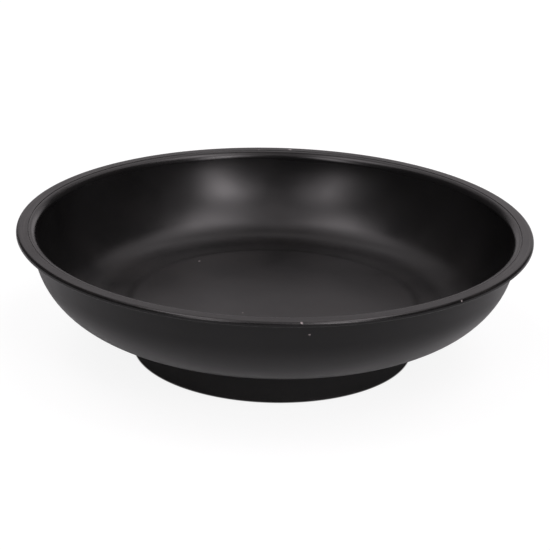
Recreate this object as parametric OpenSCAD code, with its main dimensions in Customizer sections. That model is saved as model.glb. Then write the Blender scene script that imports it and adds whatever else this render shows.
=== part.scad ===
// Magnetic pin bowl: a moulded dish screwed to a round base that holds a ring magnet.
// Millimetres, +Z up. The origin is the centre of the face that the bowl stands on.

/* [Dish] */
// Outside diameter of the flange round the rim
rim_d = 150; // [144:1:200]
// Height of the dish, from its flat underside to the top of the flange
dish_h = 25.9; // [20.5:0.1:34]
// Thickness of the wall and the floor
wall_t = 1.65; // [1.2:0.05:2.4]
// Angle by which the wall leans outward from the vertical
wall_lean = 14.5; // [6:0.5:24]
// Outside radius of the curve between the wall and the underside
knuckle_r = 22.65; // [16:0.05:26]

/* [Flange] */
// Thickness of the flange at its edge
flange_t = 1.45; // [1:0.05:2.2]
// How far the flange stands out from the top of the wall
flange_overhang = 3.45; // [2.5:0.05:7]
// Rounding of the flange's two outer corners
flange_edge_r = 0.25; // [0.1:0.05:0.45]
// Fillet between the flange and the outside of the wall
flange_fillet_r = 0.6; // [0.2:0.1:1.5]
// Radius of the rounded mouth, between the flange and the inside of the wall
mouth_r = 2.2; // [1:0.1:3]
// Height by which the outer land of the flange stands above the mouth
land_step = 0.3; // [0.1:0.05:0.5]
// Flat ring between the mouth's round and the foot of that step
land_ledge = 0.15; // [0.05:0.05:0.5]

/* [Floor panel] */
// Height by which the round floor panel stands above the floor round it
panel_step = 0.45; // [0.2:0.05:1]
// Width of the soft slope at the panel's edge
panel_slope_w = 2.4; // [1.5:0.1:3]
// How far the panel's flat top stays inside the outline of the base
panel_inset = 0.1; // [0:0.1:8]

/* [Magnet] */
// Outside diameter of the ring magnet
magnet_od = 60; // [50:1:66]
// Diameter of the hole in the ring magnet
magnet_id = 24; // [18:1:32]
// Thickness of the ring magnet
magnet_t = 8; // [6:0.5:14]
// Chamfer on the magnet's four edges
magnet_chamfer = 0.5; // [0.2:0.1:1]
// Gap between the magnet and what locates it
magnet_clear = 0.3; // [0.1:0.05:0.6]
// Thickness of the steel plate under the magnet
plate_t = 1; // [0.6:0.1:3]
// Chamfer on the steel plate's edges
plate_chamfer = 0.15; // [0.05:0.05:0.25]
// Thickness of the foam ring above the magnet, as squeezed
cushion_t = 0.8; // [0.6:0.1:3]
// How far the foam ring stays inside both edges of the magnet
cushion_inset = 1; // [0.5:0.5:4]

/* [Base housing] */
// Thickness of the base's outer wall
base_wall_t = 2; // [1.4:0.1:3]
// Thickness of the base's floor
base_floor_t = 1.6; // [1.2:0.1:3]
// Rounding of the base's outer bottom corner
base_edge_r = 0.3; // [0.1:0.05:0.5]
// Chamfer of the base's outer top corner, which makes the line under the dish
base_line = 0.2; // [0.1:0.05:0.4]
// Height of the ring wall that locates the magnet
nest_h = 2.4; // [1.5:0.1:2.6]
// Thickness of the ring wall that locates the magnet
nest_t = 1.2; // [0.8:0.1:1.6]
// Wall of the hollow hub inside the magnet
hub_t = 1.5; // [1:0.1:3]
// Gap above the hub
hub_gap = 0.4; // [0.2:0.1:1]
// Number of ribs between the magnet's ring wall and the base's wall
rib_count = 12; // [6:1:24]
// Thickness of the ribs
rib_t = 1.2; // [0.8:0.1:2]

/* [Joint between dish and base] */
// Height of the ring under the dish that enters the base
spigot_h = 2.5; // [1.5:0.1:3.5]
// Thickness of that ring
spigot_t = 1.4; // [1:0.1:2.5]
// Chamfer that leads that ring into the base
spigot_chamfer = 0.4; // [0.2:0.1:0.6]
// Gap between that ring and the inside of the base
spigot_clear = 0.2; // [0.1:0.05:0.4]
// Radius of the screw bosses under the dish
boss_r = 3.3; // [2.8:0.1:4]
// Gap between the magnet and the bosses
boss_gap = 1.7; // [1:0.1:5]
// How far a boss runs into the spigot ring
boss_merge = 0.3; // [0.2:0.1:0.8]
// Gap between a boss and what stands under it, the post or the magnet's ring wall
post_gap = 0.2; // [0.1:0.1:0.5]

/* [Screws] */
// Number of screws
screw_count = 4; // [3:1:6]
// Outside diameter of the screw's thread
screw_d = 2.9; // [2.2:0.1:3.2]
// Pitch of the screw's thread
screw_pitch = 1.06; // [0.8:0.01:1.3]
// Depth of the screw's thread
thread_depth = 0.38; // [0.2:0.01:0.45]
// Diameter of the screw's head
head_d = 5.6; // [4.8:0.1:6]
// Height of the screw's head
head_h = 2.2; // [1.6:0.1:2.6]
// Width of the two slots that cross in the head
cross_w = 0.9; // [0.6:0.1:1.1]
// Length of those slots
cross_l = 3.2; // [2.2:0.1:3.6]
// Depth of those slots
cross_depth = 1.3; // [0.8:0.1:1.4]
// Depth of the head below the face that the tape covers
head_sink = 0.4; // [0.1:0.1:0.8]
// Gap round the head
head_clear = 0.3; // [0.2:0.1:0.6]
// Plastic that the head clamps
clamp_t = 1.6; // [1.2:0.1:2.5]
// Wall of the post round the head
post_t = 1.2; // [0.8:0.1:1.6]
// Gap round the thread, in the post and in the hole that it has cut in the boss
thread_clear = 0.05; // [0.02:0.01:0.1]
// Gap beyond the screw's tip
tip_gap = 0.8; // [0.4:0.1:1.2]
// Solid plastic of the boss above that gap
boss_end_t = 1.5; // [0.8:0.1:2]

/* [Foot] */
// Thickness of the rubber foot pad
pad_t = 1.2; // [1:0.1:3]
// How far the pad stands below the base's rim
pad_proud = 0.3; // [0.2:0.1:0.6]
// Gap round the pad
pad_clear = 0.25; // [0.1:0.05:0.5]
// Width of the base's rim round the pad
foot_rim_w = 2.2; // [1.6:0.1:3]
// Chamfer of the pad's lower edge
pad_chamfer = 0.25; // [0.1:0.05:0.4]
// Number of round grip grooves in the pad
groove_count = 3; // [1:1:6]
// Width of a groove
groove_w = 1.2; // [0.6:0.1:2]
// Depth of a groove
groove_depth = 0.35; // [0.2:0.05:0.6]
// Thickness of the tape above the pad
tape_t = 0.15; // [0.1:0.05:0.4]
// How far the tape stays inside the pad's edge
tape_inset = 0.75; // [0.25:0.25:2]

/* [Hidden] */
$fn = 120;
overlap = 0.4;
arc_steps = 16;
round_steps = 4;

// Heights, from the face that the bowl stands on
recess_z = pad_t + tape_t;
base_floor_z = recess_z + base_floor_t;
nest_z = base_floor_z + nest_h;
plate_top_z = base_floor_z + plate_t;
magnet_top_z = plate_top_z + magnet_t;
panel_under_z = magnet_top_z + cushion_t;
under_z = panel_under_z - panel_step;
floor_z = under_z + wall_t;
panel_z = floor_z + panel_step;
rim_z = under_z + dish_h;
flange_z = rim_z - flange_t;
mouth_z = rim_z - land_step;
seat_z = recess_z + head_h + head_sink;
post_z = seat_z + clamp_t;
boss_z = max(post_z, nest_z) + post_gap;
tip_z = panel_under_z - boss_end_t - tip_gap;

// Radii, from the magnet outward
magnet_r = magnet_od / 2;
seat_r = magnet_r + magnet_clear;
hole_r = magnet_id / 2;
screw_ring_r = magnet_r + boss_gap + boss_r;
spigot_in_r = screw_ring_r + boss_r - boss_merge;
spigot_out_r = spigot_in_r + spigot_t;
base_in_r = spigot_out_r + spigot_clear;
base_r = base_in_r + base_wall_t;
recess_r = base_r - foot_rim_w;
pad_r = recess_r - pad_clear;
panel_r = base_r - panel_inset;

// Dish: the wall's outside passes through (wall_top_r, flange_z) at wall_lean
rim_r = rim_d / 2;
wall_top_r = rim_r - flange_overhang;
knuckle_z = under_z + knuckle_r;
knuckle_c = wall_line_r(knuckle_z, 0) - knuckle_r / cos(wall_lean);
inner_knuckle_r = knuckle_r - wall_t;
mouth_c = wall_line_r(mouth_z - mouth_r, wall_t - mouth_r);
land_r = mouth_c + land_ledge;

// Radius at height z of the line that lies depth inside the wall's outer face
function wall_line_r(z, depth) =
    wall_top_r + (z - flange_z) * tan(wall_lean) - depth / cos(wall_lean);

// Points on an arc, from angle a0 to angle a1
function arc(r, z, radius, a0, a1, steps) =
    [for (i = [0:steps]) let (a = a0 + (a1 - a0) * i / steps) [r + radius * cos(a), z + radius * sin(a)]];

// Soft step between two levels: an arc that turns down, then one that turns level again
slope_a = 2 * atan(panel_step / panel_slope_w);
slope_r = panel_slope_w / (2 * sin(slope_a));

function dish_underside() = concat(
    [[0, panel_under_z], [spigot_in_r, panel_under_z], [spigot_in_r, under_z - spigot_h]],
    [[spigot_out_r - spigot_chamfer, under_z - spigot_h], [spigot_out_r, under_z - spigot_h + spigot_chamfer]],
    [[spigot_out_r, under_z]],
    arc(knuckle_c, knuckle_z, knuckle_r, -90, -wall_lean, arc_steps));

function flange_outline() = concat(
    arc(wall_line_r(flange_z - flange_fillet_r, -flange_fillet_r), flange_z - flange_fillet_r,
        flange_fillet_r, 180 - wall_lean, 90, round_steps),
    arc(rim_r - flange_edge_r, flange_z + flange_edge_r, flange_edge_r, -90, 0, round_steps),
    arc(rim_r - flange_edge_r, rim_z - flange_edge_r, flange_edge_r, 0, 90, round_steps),
    [[land_r, rim_z], [land_r, mouth_z]],
    arc(mouth_c, mouth_z - mouth_r, mouth_r, 90, 180 - wall_lean, 2 * round_steps));

function dish_inside() = concat(
    arc(knuckle_c, knuckle_z, inner_knuckle_r, -wall_lean, -90, arc_steps),
    arc(panel_r + panel_slope_w, floor_z + slope_r, slope_r, -90, -90 - slope_a, round_steps),
    arc(panel_r, panel_z - slope_r, slope_r, 90 - slope_a * (round_steps - 1) / round_steps, 90, round_steps - 1),
    [[0, panel_z]]);

// Places its children at each screw
module at_screws() {
    for (i = [0:screw_count - 1])
        rotate([0, 0, (i + 0.5) * 360 / screw_count])
            translate([screw_ring_r, 0, 0])
                children();
}

// A straight tube between two heights
module tube(outer, inner, z0, z1) {
    rotate_extrude()
        translate([inner, z0])
            square([outer - inner, z1 - z0]);
}

// A flat ring with chamfered edges
module ring(outer, inner, z0, z1, chamfer) {
    rotate_extrude()
        polygon([
            [inner + chamfer, z0], [outer - chamfer, z0], [outer, z0 + chamfer], [outer, z1 - chamfer],
            [outer - chamfer, z1], [inner + chamfer, z1], [inner, z1 - chamfer], [inner, z0 + chamfer]]);
}

// Moulded dish, with the ring and the screw bosses under its floor
module bowl() {
    color([0.075, 0.073, 0.07])
        difference() {
            union() {
                rotate_extrude()
                    polygon(concat(dish_underside(), flange_outline(), dish_inside()));
                at_screws()
                    translate([0, 0, boss_z])
                        cylinder(r = boss_r, h = panel_under_z - boss_z + overlap, $fn = 48);
            }
            at_screws()
                translate([0, 0, boss_z - overlap])
                    cylinder(r = screw_d / 2 + thread_clear, h = tip_z + tip_gap - boss_z + overlap, $fn = 32);
        }
}

// Round base: a cup with the pad's recess below, and the magnet's seat inside
module base_housing() {
    color([0.045, 0.045, 0.045])
        difference() {
            union() {
                rotate_extrude()
                    polygon(concat(
                        [[0, recess_z], [recess_r, recess_z], [recess_r, pad_proud]],
                        arc(base_r - base_edge_r, pad_proud + base_edge_r, base_edge_r, -90, 0, round_steps),
                        [[base_r, under_z - base_line], [base_r - base_line, under_z]],
                        [[base_in_r, under_z], [base_in_r, base_floor_z], [0, base_floor_z]]));
                tube(hole_r - magnet_clear, hole_r - magnet_clear - hub_t, base_floor_z - overlap,
                     panel_under_z - hub_gap);
                tube(seat_r + nest_t, seat_r, base_floor_z - overlap, nest_z);
                for (i = [0:rib_count - 1])
                    rotate([0, 0, i * 360 / rib_count])
                        rib(seat_r + nest_t - overlap, rib_t, nest_z);
                difference() {
                    at_screws()
                        translate([0, 0, recess_z])
                            cylinder(r = head_d / 2 + head_clear + post_t, h = post_z - recess_z, $fn = 48);
                    translate([0, 0, base_floor_z])
                        cylinder(r = seat_r, h = post_z);
                }
                for (i = [0:screw_count - 1])
                    rotate([0, 0, (i + 0.5) * 360 / screw_count])
                        rib(screw_ring_r, 2 * rib_t, post_z);
            }
            at_screws() {
                translate([0, 0, recess_z - overlap])
                    cylinder(r = head_d / 2 + head_clear, h = seat_z - recess_z + overlap, $fn = 48);
                translate([0, 0, seat_z - overlap])
                    cylinder(r = screw_d / 2 + thread_clear, h = boss_z - seat_z + overlap, $fn = 32);
            }
        }
}

// A rib on the base's floor, from radius r to the base's wall
module rib(r, thickness, top_z) {
    translate([r, -thickness / 2, base_floor_z - overlap])
        cube([base_in_r + overlap - r, thickness, top_z - base_floor_z + overlap]);
}

// Ferrite ring
module ring_magnet() {
    color([0.17, 0.17, 0.18])
        ring(magnet_r, hole_r, plate_top_z, magnet_top_z, magnet_chamfer);
}

// Steel washer under the magnet
module backing_plate() {
    color([0.62, 0.63, 0.66])
        ring(magnet_r, hole_r, base_floor_z, plate_top_z, plate_chamfer);
}

// Foam ring between the magnet and the dish
module magnet_cushion() {
    color([0.2, 0.2, 0.21])
        tube(magnet_r - cushion_inset, hole_r + cushion_inset, magnet_top_z, panel_under_z);
}

// One self-tapping screw with its head down: a domed head, a ridged shank and a blunt tip
module screw() {
    core_r = screw_d / 2 - thread_depth;
    tip_r = core_r / 2;
    turns = floor((tip_z - seat_z - screw_d) / screw_pitch);
    thread_z = seat_z + screw_d / 2;
    head_low_z = seat_z - head_h;
    dome_h = head_h / 2;
    difference() {
        rotate_extrude($fn = 48)
            polygon(concat(
                [[0, head_low_z]],
                [for (a = [75:-15:0]) [head_d / 2 * cos(a), seat_z - dome_h - dome_h * sin(a)]],
                [[head_d / 2, seat_z], [core_r, seat_z], [core_r, thread_z]],
                [for (i = [0:turns - 1]) each [
                    [screw_d / 2, thread_z + (i + 0.5) * screw_pitch],
                    [core_r, thread_z + (i + 1) * screw_pitch]]],
                [[core_r, tip_z - core_r], [tip_r, tip_z], [0, tip_z]]));
        for (turn = [0, 90])
            rotate([0, 0, turn])
                translate([-cross_l / 2, -cross_w / 2, head_low_z - overlap])
                    cube([cross_l, cross_w, cross_depth + overlap]);
    }
}

// The screws that hold the base to the dish
module base_screws() {
    color([0.55, 0.56, 0.58])
        at_screws()
            screw();
}

// Rubber disc that the bowl stands on, with round grooves in its lower face
module foot_pad() {
    groove_pitch = pad_r / (groove_count + 1);
    color([0.06, 0.06, 0.06])
        difference() {
            rotate_extrude()
                polygon([[0, 0], [pad_r - pad_chamfer, 0], [pad_r, pad_chamfer], [pad_r, pad_t], [0, pad_t]]);
            for (i = [1:groove_count])
                tube(i * groove_pitch + groove_w / 2, i * groove_pitch - groove_w / 2, -overlap, groove_depth);
        }
}

// Double-sided tape between the pad and the base
module foot_pad_tape() {
    color([0.85, 0.82, 0.7])
        translate([0, 0, pad_t])
            cylinder(r = pad_r - tape_inset, h = tape_t);
}

bowl();
base_housing();
ring_magnet();
backing_plate();
magnet_cushion();
base_screws();
foot_pad();
foot_pad_tape();
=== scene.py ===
"""A magnetic pin bowl: a satin black moulded dish screwed to a low round base that holds a ring magnet.

The dish, the foam ring and the grip pad are modelled again here with fine edges. The other pieces keep
their solids, and every piece gets a material of its own. Sizes are in millimetres unless a line says metres.
"""

import logging
import math
from dataclasses import dataclass, field
from enum import Enum
from typing import Iterable, Union

import bpy
import numpy as np
from mathutils import Matrix, Vector


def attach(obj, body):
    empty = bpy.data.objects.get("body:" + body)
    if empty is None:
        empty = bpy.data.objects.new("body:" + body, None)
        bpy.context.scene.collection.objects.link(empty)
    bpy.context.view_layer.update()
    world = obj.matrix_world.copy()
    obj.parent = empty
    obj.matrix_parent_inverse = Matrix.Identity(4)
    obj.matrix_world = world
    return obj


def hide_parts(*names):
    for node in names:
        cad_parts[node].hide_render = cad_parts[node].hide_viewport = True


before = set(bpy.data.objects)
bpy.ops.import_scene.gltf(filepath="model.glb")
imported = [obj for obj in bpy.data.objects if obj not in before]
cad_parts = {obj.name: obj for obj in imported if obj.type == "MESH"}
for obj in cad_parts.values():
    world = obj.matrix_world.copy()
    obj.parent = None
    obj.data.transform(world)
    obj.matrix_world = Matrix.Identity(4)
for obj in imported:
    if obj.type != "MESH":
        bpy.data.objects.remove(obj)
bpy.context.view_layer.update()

MM = 0.001
ROOT = "root"
LOG = logging.getLogger("pin_bowl")
WHITE = (1.0, 1.0, 1.0, 1.0)

# Lengths in millimetres that count as none: of a radius, and between two points.
ON_AXIS = 1e-9
ONE_POINT = 1e-6

# Where a Mix node of colours takes its factor and its two colours, and where it gives the result.
MIX_INPUTS = (0, 6, 7)
MIX_OUTPUT = 2

Point = tuple[float, float]
Colour = tuple[float, float, float, float]
Piece = bpy.types.Object
Material = bpy.types.Material
Node = bpy.types.Node
NodeTree = bpy.types.NodeTree
Socket = bpy.types.NodeSocket
Sockets = bpy.types.bpy_prop_collection
Value = Union[float, tuple, Socket]
Edge = Union["Line", "Arc"]


class Slot(Enum):
    """The material slots of the part's record."""

    DISH = "dish_plastic"
    BASE = "base_plastic"
    FERRITE = "ferrite"
    PLATE = "plate_steel"
    SCREW = "screw_steel"
    FOAM = "cushion_foam"
    RUBBER = "pad_rubber"
    TAPE = "tape"


# Turned shapes


@dataclass(frozen=True)
class Line:
    """A straight edge of a half section."""

    start: Point
    end: Point

    def samples(self, longest: float, degrees: float) -> list[Point]:
        """Points along the edge without its last one.

        Args:
            longest: Longest stretch between two points.
            degrees: Largest turn between two points, which a straight edge never reaches.

        Returns:
            The points as (radius, height).
        """
        a, b = np.array(self.start), np.array(self.end)
        count = max(1, math.ceil(float(np.linalg.norm(b - a)) / longest))
        return [tuple(a + (b - a) * i / count) for i in range(count)]

    def normals(self, points: np.ndarray, slack: float) -> tuple[np.ndarray, np.ndarray]:
        """Outward normals at points on the edge.

        Args:
            points: Points as rows of (radius, height).
            slack: How far off the edge a point may lie.

        Returns:
            The normals as rows, and a mask of the points that lie on the edge.
        """
        a, b = np.array(self.start), np.array(self.end)
        along = (b - a) / np.linalg.norm(b - a)
        right = np.array((along[1], -along[0]))
        t = (points - a) @ along
        on = np.abs((points - a) @ right) < slack
        on &= (t > -slack) & (t < np.linalg.norm(b - a) + slack)
        return np.broadcast_to(right, points.shape), on


@dataclass(frozen=True)
class Arc:
    """A round edge of a half section, from one angle to another, in degrees."""

    centre: Point
    radius: float
    begin: float
    finish: float

    def point(self, angle: float) -> Point:
        """The point at an angle."""
        a = math.radians(angle)
        return self.centre[0] + self.radius * math.cos(a), self.centre[1] + self.radius * math.sin(a)

    @property
    def start(self) -> Point:
        """The first point."""
        return self.point(self.begin)

    @property
    def end(self) -> Point:
        """The last point."""
        return self.point(self.finish)

    def samples(self, longest: float, degrees: float) -> list[Point]:
        """Points along the arc without its last one.

        Args:
            longest: Longest stretch between two points.
            degrees: Largest turn between two points.

        Returns:
            The points as (radius, height).
        """
        sweep = abs(self.finish - self.begin)
        count = max(3, math.ceil(sweep / degrees), math.ceil(math.radians(sweep) * self.radius / longest))
        return [self.point(self.begin + (self.finish - self.begin) * i / count) for i in range(count)]

    def normals(self, points: np.ndarray, slack: float) -> tuple[np.ndarray, np.ndarray]:
        """Outward normals at points on the arc.

        Args:
            points: Points as rows of (radius, height).
            slack: How far off the arc a point may lie.

        Returns:
            The normals as rows, and a mask of the points that lie on the arc.
        """
        out = points - np.array(self.centre)
        length = np.maximum(np.linalg.norm(out, axis=1), ON_AXIS)
        middle = math.radians((self.begin + self.finish) / 2)
        half = math.radians(abs(self.finish - self.begin) / 2) + slack / self.radius
        turn = (np.arctan2(out[:, 1], out[:, 0]) - middle + math.pi) % (2 * math.pi) - math.pi
        on = (np.abs(length - self.radius) < slack) & (np.abs(turn) < half)
        sign = 1.0 if self.finish > self.begin else -1.0
        return sign * out / length[:, None], on


@dataclass(frozen=True)
class Corner:
    """A corner of a half section, with the radius that breaks it."""

    at: Point
    fillet: float = 0.0


@dataclass
class Outline:
    """A closed half section, walked with the material on the left."""

    parts: list[Union[Corner, Arc]] = field(default_factory=list)

    def corner(self, radius: float, height: float, fillet: float = 0.0) -> "Outline":
        """Adds a corner.

        Args:
            radius: Distance from the axis.
            height: Height.
            fillet: Radius that breaks the corner, between two straight edges.

        Returns:
            The outline.
        """
        self.parts.append(Corner((radius, height), fillet))
        return self

    def arc(self, centre_r: float, centre_z: float, radius: float, begin: float, finish: float) -> "Outline":
        """Adds an arc.

        Args:
            centre_r: Distance of its centre from the axis.
            centre_z: Height of its centre.
            radius: Its radius.
            begin: Angle where it begins, in degrees.
            finish: Angle where it ends, in degrees.

        Returns:
            The outline.
        """
        self.parts.append(Arc((centre_r, centre_z), radius, begin, finish))
        return self

    def _broken(self, index: int) -> Union[Corner, Arc]:
        """The part at an index, with a filleted corner turned into an arc.

        Args:
            index: Place in the list of parts.

        Returns:
            A plain corner or an arc.
        """
        part = self.parts[index]
        if isinstance(part, Arc) or not part.fillet:
            return part
        before, after = self.parts[index - 1], self.parts[(index + 1) % len(self.parts)]
        at = np.array(part.at)
        u = np.array(before.end if isinstance(before, Arc) else before.at) - at
        v = np.array(after.start if isinstance(after, Arc) else after.at) - at
        u, v = u / np.linalg.norm(u), v / np.linalg.norm(v)
        half = math.acos(max(-1.0, min(1.0, float(u @ v)))) / 2
        centre = at + (u + v) / np.linalg.norm(u + v) * part.fillet / math.sin(half)
        reach = part.fillet / math.tan(half)
        angles = [math.degrees(math.atan2(*(at + w * reach - centre)[::-1])) for w in (u, v)]
        turn = (angles[1] - angles[0] + 180) % 360 - 180
        return Arc((float(centre[0]), float(centre[1])), part.fillet, angles[0], angles[0] + turn)

    def edges(self) -> list[Edge]:
        """Every edge in order, with the fillets worked out and without the one on the axis.

        Returns:
            The edges.
        """
        parts = [self._broken(i) for i in range(len(self.parts))]
        found: list[Edge] = []
        for i, part in enumerate(parts):
            last = parts[i - 1]
            start = last.end if isinstance(last, Arc) else last.at
            end = part.start if isinstance(part, Arc) else part.at
            if math.dist(start, end) > ONE_POINT and max(start[0], end[0]) >= ON_AXIS:
                found.append(Line(start, end))
            if isinstance(part, Arc):
                found.append(part)
        return found


@dataclass
class TurnedPiece:
    """A mesh turned from an outline about an upright axis, in metres."""

    name: str
    outline: Outline
    segments: int = 256
    centres: tuple[Point, ...] = ((0.0, 0.0),)
    longest: float = 4.0
    degrees: float = 3.0

    def _rings(self) -> list[Point]:
        """The outline's points in order, with its end on the axis added.

        Returns:
            The points as (radius, height).
        """
        edges = self.outline.edges()
        points = [p for edge in edges for p in edge.samples(self.longest, self.degrees)]
        if edges[-1].end[0] < ON_AXIS:
            points.append(edges[-1].end)
        return points

    def build(self) -> Piece:
        """Makes the object, with one copy of the shape on each centre.

        Returns:
            The new object, linked to the scene.
        """
        rings = self._rings()
        closed = rings[0][0] > ON_AXIS
        verts: list[tuple[float, float, float]] = []
        faces: list[tuple[int, ...]] = []
        angles = [2 * math.pi * i / self.segments for i in range(self.segments)]
        for cx, cy in self.centres:
            rows: list[list[int]] = []
            for radius, height in rings:
                first = len(verts)
                if radius < ON_AXIS:
                    verts.append((cx * MM, cy * MM, height * MM))
                    rows.append([first] * self.segments)
                    continue
                verts += [((cx + radius * math.cos(a)) * MM, (cy + radius * math.sin(a)) * MM, height * MM)
                          for a in angles]
                rows.append(list(range(first, first + self.segments)))
            pairs = list(zip(rows, rows[1:])) + ([(rows[-1], rows[0])] if closed else [])
            for low, high in pairs:
                for i in range(self.segments):
                    j = (i + 1) % self.segments
                    faces.append(tuple(dict.fromkeys((low[i], low[j], high[j], high[i]))))
        mesh = bpy.data.meshes.new(self.name)
        mesh.from_pydata(verts, [], faces)
        mesh.validate()
        obj = bpy.data.objects.new(self.name, mesh)
        bpy.context.scene.collection.objects.link(obj)
        return obj


def combine(target: Piece, tool: Piece, operation: str) -> None:
    """Joins a tool object to a target, or cuts it out, and removes the tool.

    Args:
        target: The object that changes.
        tool: The object that is added or cut away.
        operation: UNION or DIFFERENCE.
    """
    modifier = target.modifiers.new("combine", "BOOLEAN")
    modifier.operation = operation
    modifier.solver = "MANIFOLD"
    modifier.object = tool
    evaluated = target.evaluated_get(bpy.context.evaluated_depsgraph_get())
    made = bpy.data.meshes.new_from_object(evaluated)
    old = target.data
    target.modifiers.clear()
    target.data = made
    made.name = target.name
    bpy.data.meshes.remove(old)
    spent = tool.data
    bpy.data.objects.remove(tool)
    bpy.data.meshes.remove(spent)


def shade_turned(obj: Piece, turned: Iterable[TurnedPiece], slack: float = 0.004, alike: float = 0.8) -> None:
    """Gives every corner of a mesh the true normal of the turned surface that it lies on.

    Args:
        obj: The object, whose mesh is in metres.
        turned: The turned pieces that its surfaces came from.
        slack: How far off a surface a corner may lie, in millimetres.
        alike: Least cosine between a true normal and the flat face's own.
    """
    mesh = obj.data
    corners = len(mesh.loops)
    where, which = np.zeros(len(mesh.vertices) * 3), np.zeros(corners, int)
    mesh.vertices.foreach_get("co", where)
    mesh.loops.foreach_get("vertex_index", which)
    points = where.reshape(-1, 3)[which] / MM
    face, count = np.zeros(len(mesh.polygons) * 3), np.zeros(len(mesh.polygons), int)
    mesh.polygons.foreach_get("normal", face)
    mesh.polygons.foreach_get("loop_total", count)
    flat = np.repeat(face.reshape(-1, 3), count, axis=0)
    best, score = flat.copy(), np.full(corners, alike)
    for piece in turned:
        for cx, cy in piece.centres:
            x, y = points[:, 0] - cx, points[:, 1] - cy
            radius = np.hypot(x, y)
            section = np.column_stack((radius, points[:, 2]))
            safe = np.maximum(radius, ONE_POINT)
            for edge in piece.outline.edges():
                normal, on = edge.normals(section, slack)
                there = np.column_stack((normal[:, 0] * x / safe, normal[:, 0] * y / safe, normal[:, 1]))
                match = np.einsum("ij,ij->i", there, flat)
                take = on & (np.abs(match) > score)
                best[take] = there[take] * np.sign(match[take])[:, None]
                score[take] = np.abs(match[take])
    mesh.polygons.foreach_set("use_smooth", np.ones(len(mesh.polygons), bool))
    mesh.normals_split_custom_set(best)
    mesh.update()


# Shader nodes


@dataclass
class Graph:
    """Adds and joins the nodes of one material, group or world."""

    tree: NodeTree

    def add(self, kind: str, settings: dict | None = None, inputs: dict | None = None) -> Node:
        """Adds a node.

        Args:
            kind: The node's type without the ShaderNode in front.
            settings: Properties of the node.
            inputs: What each input socket, by name or number, is set or linked to.

        Returns:
            The new node.
        """
        node = self.tree.nodes.new("ShaderNode" + kind)
        for key, value in (settings or {}).items():
            setattr(node, key, value)
        for key, value in (inputs or {}).items():
            self.feed(node.inputs[key], value)
        return node

    def feed(self, socket: Socket, value: Value) -> None:
        """Sets an input, or links an output to it.

        Args:
            socket: The input.
            value: A number, a tuple or an output socket.
        """
        if isinstance(value, Socket):
            self.tree.links.new(value, socket)
        else:
            socket.default_value = value

    def math(self, operation: str, a: Value, b: Value = 0.0, clamp: bool = False) -> Socket:
        """Adds a Math node.

        Args:
            operation: Its operation.
            a: First value.
            b: Second value.
            clamp: Whether the result is kept from 0 to 1.

        Returns:
            Its output.
        """
        return self.add("Math", {"operation": operation, "use_clamp": clamp}, {0: a, 1: b}).outputs[0]

    def share(self, value: Socket, part: float) -> Socket:
        """A part of a value."""
        return value if part == 1.0 else self.math("MULTIPLY", value, part)

    def length(self, x: Socket, y: Socket) -> Socket:
        """The length of a flat vector."""
        return self.math("SQRT", self.math("ADD", self.math("MULTIPLY", x, x), self.math("MULTIPLY", y, y)))

    def vector(self, operation: str, a: Value, b: Value) -> Sockets:
        """The outputs of a Vector Math node."""
        return self.add("VectorMath", {"operation": operation}, {0: a, 1: b}).outputs

    def split(self, value: Socket) -> Sockets:
        """The three numbers of a vector."""
        return self.add("SeparateXYZ", inputs={0: value}).outputs

    def ramp(self, value: Value, low: float, high: float, out: Point = (0.0, 1.0)) -> Socket:
        """Maps a value smoothly from one range to another.

        Args:
            value: The value.
            low: Where the ramp starts.
            high: Where the ramp ends.
            out: The results at its two ends.

        Returns:
            The result, which is kept inside out.
        """
        inputs = {"Value": value, "From Min": low, "From Max": high, "To Min": out[0], "To Max": out[1]}
        return self.add("MapRange", {"interpolation_type": "SMOOTHSTEP"}, inputs).outputs["Result"]

    def noise(self, at: Value, size: Value, detail: float = 2.0, seed: Value = 0.0,
              rough: float = 0.5) -> Socket:
        """Adds a Noise texture.

        Args:
            at: Position in millimetres.
            size: Size of its spots in millimetres.
            detail: Number of finer layers.
            seed: Picks another pattern.
            rough: How strong the finer layers are.

        Returns:
            Its factor, from 0 to 1.
        """
        scale = self.math("DIVIDE", 1.0, size) if isinstance(size, Socket) else 1.0 / size
        inputs = {"Vector": at, "W": seed, "Scale": scale, "Detail": detail, "Roughness": rough}
        return self.add("TexNoise", {"noise_dimensions": "4D"}, inputs).outputs["Fac"]

    def cells(self, size: float, smooth: float) -> Socket:
        """Distance from the middle of rounded cells, whose size is in millimetres."""
        inputs = {"Vector": self.millimetres(), "Scale": 1 / size, "Smoothness": smooth}
        return self.add("TexVoronoi", {"feature": "SMOOTH_F1"}, inputs).outputs["Distance"]

    def mix(self, factor: Value, a: Value, b: Value) -> Socket:
        """Mixes two colours.

        Args:
            factor: Share of the second.
            a: First colour.
            b: Second colour.

        Returns:
            The mixed colour.
        """
        inputs = dict(zip(MIX_INPUTS, (factor, a, b)))
        return self.add("Mix", {"data_type": "RGBA"}, inputs).outputs[MIX_OUTPUT]

    def millimetres(self) -> Socket:
        """Position on the piece in millimetres."""
        return self.vector("MULTIPLY", self.add("TexCoord").outputs["Object"], (1 / MM,) * 3)[0]

    def use(self, group: NodeTree, **inputs: Value) -> Sockets:
        """Places a node group.

        Args:
            group: The group.
            inputs: Its inputs by name, with _ for a space.

        Returns:
            The group's outputs.
        """
        node = self.add("Group", {"node_tree": group})
        for key, value in inputs.items():
            self.feed(node.inputs[key.replace("_", " ")], value)
        return node.outputs


def cleared_graph(holder: Union[Material, bpy.types.World]) -> Graph:
    """Empties the nodes of a material or a world.

    Args:
        holder: The material or world.

    Returns:
        A graph for its new nodes.
    """
    holder.use_nodes = True
    holder.node_tree.nodes.clear()
    return Graph(holder.node_tree)


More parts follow.
